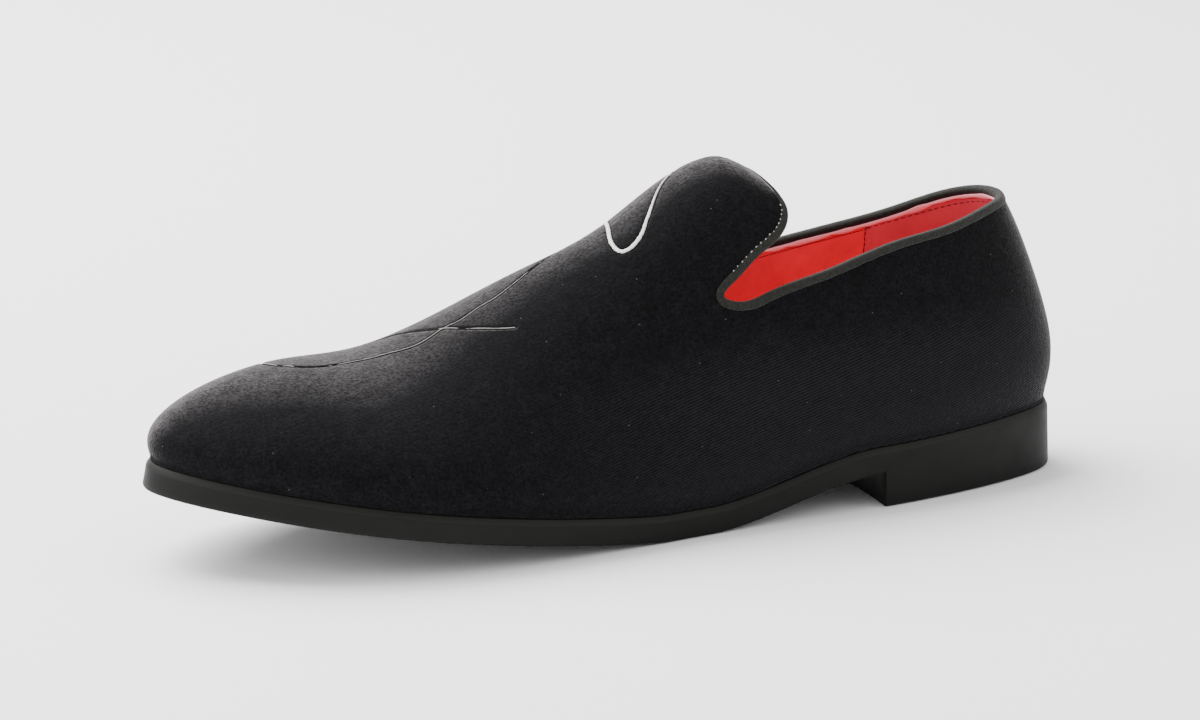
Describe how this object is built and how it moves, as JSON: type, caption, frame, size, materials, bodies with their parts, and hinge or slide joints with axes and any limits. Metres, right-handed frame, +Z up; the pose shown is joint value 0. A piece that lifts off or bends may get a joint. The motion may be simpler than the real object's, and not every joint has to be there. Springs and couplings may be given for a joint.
{
  "type": "slipper loafer",
  "caption": "Left slip-on shoe with a soft one-piece upper, raised tongue, bound topline and a moulded sole with a low heel.",
  "frame": {"origin": "middle of the shoe's plan box, on the floor plane that the heel and the ball rest on", "axes": "-X to the toe, +X to the heel, +Y to the inner (medial) side of this left foot, +Z up"},
  "size_m": [0.2998, 0.0982, 0.1078],
  "materials": {
    "moulded_rubber": "dark olive grey, matt, moulded in one unit",
    "red_sock": "red lining leather, soft sheen",
    "black_velvet": "short-pile black velvet",
    "olive_grosgrain": "ribbed tape, matt"
  },
  "bodies": {
    "root": {"outsole": "moulded_rubber", "insole": "red_sock", "upper": "black_velvet", "topline_binding": "olive_grosgrain"}
  },
  "joints": []
}
